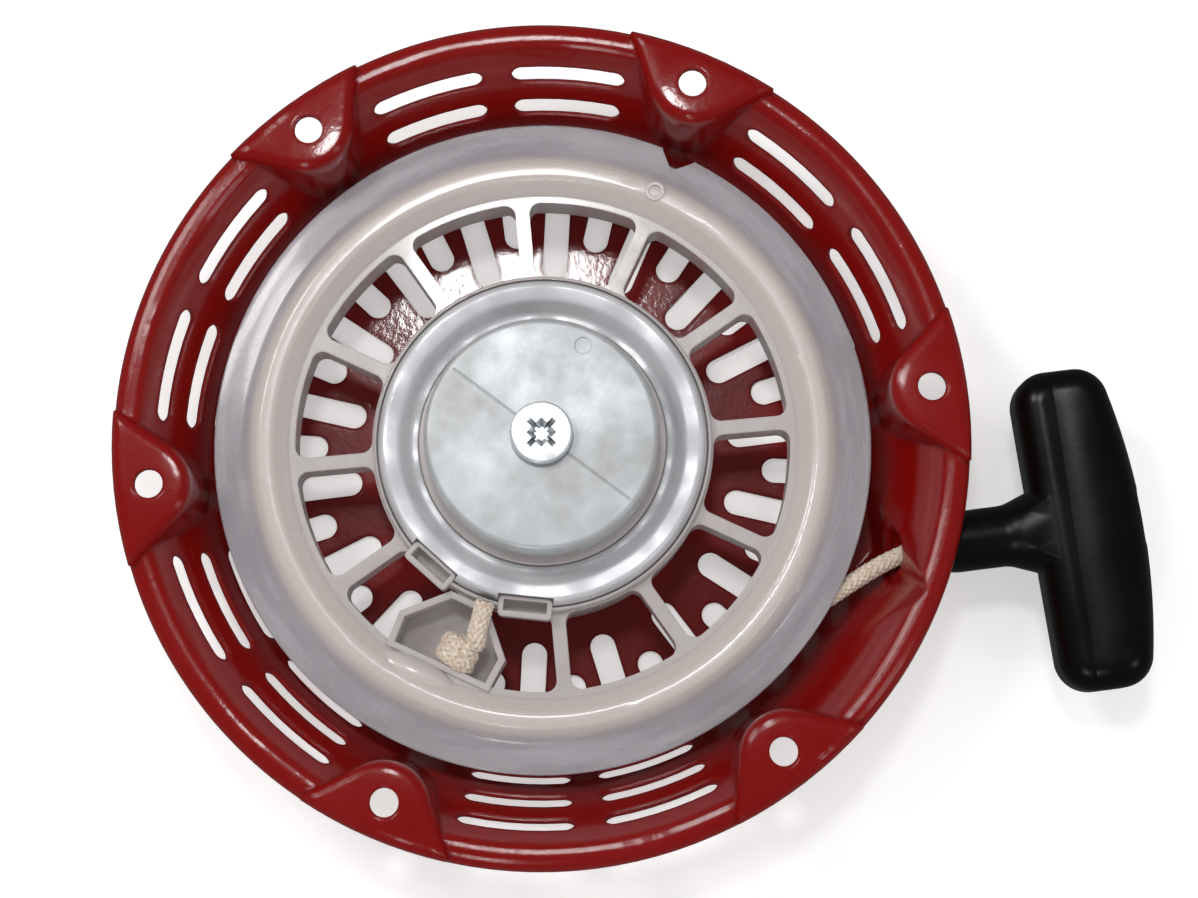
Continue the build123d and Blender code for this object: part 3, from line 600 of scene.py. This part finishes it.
def pocket_knot_points():
    """Barrel knot: two wraps round the rope that leads to the drum, and a tail laid over the hub's edge."""
    from_drum = [(68.6, 2.0, -23.8), (66.0, 2.2, -23.4)]
    over_hub = [(50.0, 5.2, -12.5), (47.4, 4.7, -11.8), (45.6, 4.4, -11.5)]
    tail = [(56.2, 6.6, -14.6), (53.4, 5.7, -13.2)] + over_hub
    barrel_out, barrel_length, barrel_side, barrel_height, barrel_r = 64.0, 6.4, 3.1, -18.0, 3.2
    first_turn, whole_turn, steps = -110, 760, 24
    wraps = []
    for step in range(steps + 1):
        share = step / steps
        turn = math.radians(first_turn + whole_turn * share)
        side = barrel_side + barrel_r * math.cos(turn)
        wraps.append((barrel_out - barrel_length * share, side, barrel_height + barrel_r * math.sin(turn)))
    return in_pocket(from_drum + wraps + tail)


def grip_knot_points():
    """A turned knot filling the recess behind the grip."""
    pull_y, pull_z = on_pull_line()
    plate_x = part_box("grip_reinforcement")[1].x
    shape = [
        (-1.0, 0, 0), (2.0, 0.4, 0), (3.6, 3.2, 1.2), (3.0, 3.6, -1.6), (2.8, 0, -2.4),
        (3.2, -3.6, -0.6), (4.4, -3.0, 2.0), (5.4, 1.0, 1.6), (5.6, 3.4, 0.2),
    ]
    return [(plate_x + a * MM, pull_y + b * MM, pull_z + c * MM) for a, b, c in shape]


def pull_rope(material):
    """The rope from the case to the knot, laid straight along the pull line."""
    pull_y, pull_z = on_pull_line()
    low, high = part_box("rope_pull_run")
    start, end = low.x - 1.0 * MM, high.x - 0.5 * MM
    path = np.array([(x, pull_y, pull_z) for x in np.linspace(start, end, 220)])
    verts, faces, uvs = tube_mesh(path, ROPE_R * 0.97, 20)
    rope = mesh_object("rope_pull", verts, faces, material, uvs)
    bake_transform(rope)
    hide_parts("rope_pull_run")


def wound_rope(material):
    """Two layers of two turns in the groove."""
    points_round = 361
    low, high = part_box("rope_coil")
    outer_r = high.x - ROPE_R
    verts, faces, uvs = [], [], []
    for radius in (outer_r - COIL_LAYER_STEP, outer_r):
        for z in (high.z - ROPE_R, low.z + ROPE_R):
            turns = np.linspace(0, math.tau, points_round)
            circle = [radius * np.cos(turns), radius * np.sin(turns), np.full(points_round, z)]
            tube = tube_mesh(np.column_stack(circle), ROPE_R * 0.98, 14, turns * radius)
            append_mesh(verts, faces, uvs, tube)
    rope = mesh_object("rope_wound", verts, faces, material, uvs)
    stand_in(rope, "reel_body", "rope_coil")


def make_ropes():
    yarn = rope_yarn()
    for name, points, radius, body, node in (
        ("rope_feed", feed_points(), ROPE_R, "case", "rope_feed_run"),
        ("rope_knot_pocket", pocket_knot_points(), ROPE_R * 1.08, "reel_body", "rope_knot_reel"),
        ("rope_knot_outer", grip_knot_points(), ROPE_R * 0.9, "grip_body", "rope_knot_grip"),
    ):
        stand_in(braided_rope(name, points, radius, yarn), body, node)
    pull_rope(rope_braid("pull"))
    wound_rope(rope_braid("wound"))


# ---------------------------------------------------------------- case and spring
def hole_backing(material):
    """Thin dished web of sheet that closes the flared rim of the rope hole against the flat beside it."""
    half_width, half_height = 3.3 * MM, 5.4 * MM
    half_thickness, dish, lift = 0.25, 0.35, 0.3
    rings, steps = 5, 28
    pull_y, pull_z = on_pull_line()
    centre = Vector((88.4 * MM, pull_y - 7.6 * MM, pull_z - 2.0 * MM))
    out = Vector((0.682, -0.731, -0.484)).normalized()
    level = Vector((0.731, 0.682, 0.0))
    rise = out.cross(level)
    verts, faces = [], []
    for side in (1, -1):
        for ring in range(rings + 1):
            share = ring / rings
            for step in range(steps):
                turn = math.tau * step / steps
                along = level * (half_width * share * math.cos(turn))
                up = rise * (half_height * share * math.sin(turn))
                depth = out * ((half_thickness * side * (1 - share**4) - dish * share**2 + lift) * MM)
                verts.append(centre + along + up + depth)
    for side in (0, 1):
        for ring in range(rings):
            base = (side * (rings + 1) + ring) * steps
            for step in range(steps):
                a, b = base + step, base + (step + 1) % steps
                quad = (a, b, b + steps, a + steps)
                faces.append(quad if side else quad[::-1])
    web = mesh_object("rope_hole_web", verts, faces, material)
    merge_close(web)
    stand_in(web, "case")


def wound_strip(material):
    """The spiral spring without its inner hook, so that the hook can stay on the post as the reel turns."""
    inner_r, outer_r, half_thickness = 10.2, 40.6, 0.3
    turns, sections_per_turn, tightening = 9, 48, 0.72
    low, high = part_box("recoil_spring")
    sections = turns * sections_per_turn
    verts = []
    for section in range(sections + 1):
        share = section / sections
        angle = share * turns * math.tau
        radius = inner_r + (outer_r - inner_r) * share**tightening
        for side, z in ((-1, low.z), (1, low.z), (1, high.z), (-1, high.z)):
            reach = (radius + side * half_thickness) * MM
            verts.append((reach * math.cos(angle), reach * math.sin(angle), z))
    strip = mesh_object("spring_strip", verts, bar_faces(sections + 1), material)
    smooth_look(strip, SPRING_CREASE_ANGLE)
    stand_in(strip, "reel_body", "recoil_spring")


def post_hook(material):
    """The spring's inner end, bent into the slot of the post."""
    bend = [(7.95, 0.25), (8.8, 0.25), (9.6, 0.27), (10.05, 0.42), (10.15, 0.85)]
    half_thickness = 0.26
    low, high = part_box("recoil_spring")
    verts = []
    for index, (x, y) in enumerate(bend):
        before, after = bend[max(index - 1, 0)], bend[min(index + 1, len(bend) - 1)]
        way = Vector((after[0] - before[0], after[1] - before[1])).normalized()
        side = Vector((-way.y, way.x)) * half_thickness
        for sign, z in ((-1, low.z), (1, low.z), (1, high.z), (-1, high.z)):
            verts.append(((x + sign * side.x) * MM, (y + sign * side.y) * MM, z))
    hook = mesh_object("spring_hook", verts, bar_faces(len(bend)), material)
    merge_close(hook)
    smooth_look(hook, SPRING_CREASE_ANGLE)
    stand_in(hook, "case")


# ---------------------------------------------------------------- stage
CAMERA_TILT = math.radians(8.4)
CAMERA_SWING = math.radians(-1.4)
CAMERA_ROLL = math.radians(7.2)
CAMERA_OFFSET = (-15.1 * MM, 3.8 * MM)
CAMERA_DISTANCE = 635.9 * MM
CAMERA_LENS = 72.57
CAMERA_SENSOR = 36.0

FLOOR_HALF = 3.0
WORLD_LIGHT, WORLD_IN_REFLECTIONS = 0.58, 0.10

# Name, direction from the part, distance and side in metres, power in watts, tint.
LIGHTS = (
    ("key", (-0.55, 0.50, 1.0), 1.2, 0.26, 3.2, (1.0, 0.985, 0.96)),
    ("flash", (-0.02, 0.27, 1.0), 1.1, 0.13, 2.1, (1.0, 1.0, 1.0)),
    ("fill", (0.7, -0.5, 0.8), 1.3, 0.16, 0.8, (0.95, 0.98, 1.0)),
    ("kicker", (-0.25, -0.75, 0.8), 1.2, 0.12, 0.9, (1.0, 1.0, 1.0)),
)


def camera_rotation():
    """Rotation from the part's frame to the camera's: nearly straight down, leaning and rolled a little."""
    swing = Matrix.Rotation(CAMERA_SWING, 3, "Z")
    tilt = Matrix.Rotation(-CAMERA_TILT, 3, "X")
    roll = Matrix.Rotation(CAMERA_ROLL, 3, "Z")
    return swing @ tilt @ swing.transposed() @ roll


def add_camera():
    back = camera_rotation().transposed()
    data = bpy.data.cameras.new("camera")
    data.lens = CAMERA_LENS
    data.sensor_width = CAMERA_SENSOR
    data.sensor_fit = "HORIZONTAL"
    data.clip_start, data.clip_end = 0.02, 20.0
    camera = bpy.data.objects.new("camera", data)
    place = back @ Vector((-CAMERA_OFFSET[0], -CAMERA_OFFSET[1], CAMERA_DISTANCE))
    camera.matrix_world = Matrix.Translation(place) @ back.to_4x4()
    bpy.context.scene.collection.objects.link(camera)
    bpy.context.scene.camera = camera


def add_light(name, direction, distance, size, power, tint):
    """A square area light aimed at the middle of the starter."""
    data = bpy.data.lights.new(name, "AREA")
    data.shape = "SQUARE"
    data.size = size
    data.energy = power
    data.color = tint
    light = bpy.data.objects.new(name, data)
    way = Vector(direction).normalized()
    light.location = Vector((0.01, 0, FLOOR_Z / 2)) + way * distance
    light.rotation_mode = "QUATERNION"
    light.rotation_quaternion = way.to_track_quat("Z", "Y")
    bpy.context.scene.collection.objects.link(light)


def add_floor():
    """A wide floor under the part, left out of mirror reflections."""
    corners = [(x * FLOOR_HALF, y * FLOOR_HALF, FLOOR_Z) for x, y in ((-1, -1), (1, -1), (1, 1), (-1, 1))]
    floor = mesh_object("floor", corners, [(0, 1, 2, 3)], studio_floor())
    floor.visible_glossy = False


def add_world():
    """White surroundings that light the part evenly but look dark in its reflections, as a studio does."""
    world = bpy.data.worlds.new("studio")
    world.use_nodes = True
    tree = world.node_tree
    in_reflection = add(tree, "ShaderNodeLightPath").outputs["Is Glossy Ray"]
    inputs = {"Value": in_reflection, "To Min": WORLD_LIGHT, "To Max": WORLD_IN_REFLECTIONS}
    background = tree.nodes["Background"]
    put(tree, background.inputs["Color"], (1.0, 1.0, 1.0, 1))
    put(tree, background.inputs["Strength"], add(tree, "ShaderNodeMapRange", inputs).outputs[0])
    bpy.context.scene.world = world
    bpy.context.scene.view_settings.view_transform = "Standard"


# ---------------------------------------------------------------- the starter and its stage
case_paint = red_enamel()
hub_look = {"rings": 0.3, "stain_scale": 46, "metallic": 0.35, "lobes": 12}
hub_steel = turned_metal("bright_steel", (0.80, 0.81, 0.84), (0.62, 0.63, 0.66), 0.42, **hub_look)
screw_look = {"rings": 0.15, "stain_scale": 60, "metallic": 0.55}
screw_zinc = turned_metal("bright_zinc", (0.84, 0.90, 0.95), (0.72, 0.76, 0.80), 0.26, **screw_look)
plated_steel = turned_metal("plated_steel", (0.6, 0.61, 0.62), (0.45, 0.45, 0.44), 0.3)
post_steel = turned_metal("post_steel", (0.55, 0.55, 0.55), (0.38, 0.37, 0.36), 0.32, rings=0.5)
ratchet_steel = turned_metal("ratchet_steel", (0.42, 0.42, 0.43), (0.25, 0.24, 0.23), 0.36)
spring_steel = turned_metal("spring_steel", (0.24, 0.25, 0.29), (0.12, 0.12, 0.14), 0.28)

paint(case_paint, "starter_case")
paint(reel_nylon(), "reel")
paint(guide_zinc(), "ratchet_guide")
paint(hub_steel, "hub_liner")
paint(screw_zinc, "set_screw")
paint(plated_steel, "thrust_washer", "grip_reinforcement")
paint(post_steel, "reel_shaft")
paint(ratchet_steel, "ratchet_1", "ratchet_2")
paint(spring_steel, "friction_spring", "ratchet_spring_1", "ratchet_spring_2")
paint(black_plastic(), "grip")
hole_backing(case_paint)
wound_strip(spring_steel)
post_hook(spring_steel)
make_ropes()

add_floor()
add_world()
for light in LIGHTS:
    add_light(*light)
add_camera()
